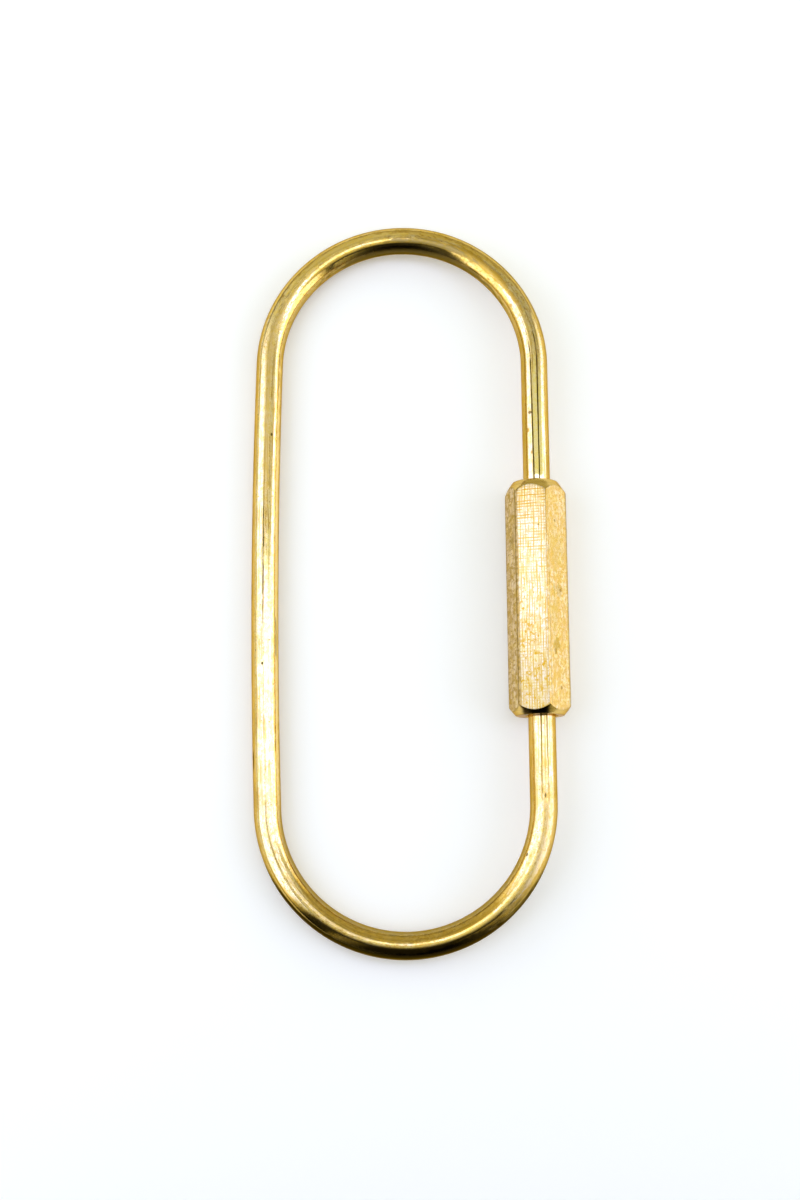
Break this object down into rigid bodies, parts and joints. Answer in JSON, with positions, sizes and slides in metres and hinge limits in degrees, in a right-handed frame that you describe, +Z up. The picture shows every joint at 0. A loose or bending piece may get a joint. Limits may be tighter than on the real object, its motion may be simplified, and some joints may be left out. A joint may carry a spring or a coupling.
{
  "type": "capsule keychain",
  "caption": "Long round-ended loop of brass rod, closed on one leg by a hexagonal screw sleeve that unscrews along the rod to let keys on.",
  "frame": {"origin": "on the table the keychain lies on, under the middle of its bounding box", "axes": "+Y along the loop's long way, +X from the unbroken leg towards the sleeve, +Z up from the table"},
  "size_m": [0.0348, 0.0822, 0.0067],
  "materials": {
    "drawn_brass": "bright drawn rod with faint lengthwise drawing lines",
    "milled_brass": "satin hexagonal bar with fine crossed scratches"
  },
  "bodies": {
    "rod_loop": {"bent_rod": "drawn_brass"},
    "screw_sleeve": {"hex_sleeve": "milled_brass"}
  },
  "joints": [
    {"name": "sleeve_unscrew", "type": "slide", "parent": "rod_loop", "child": "screw_sleeve", "axis": [0, -1, 0], "range_m": [0, 0.0095]}
  ]
}
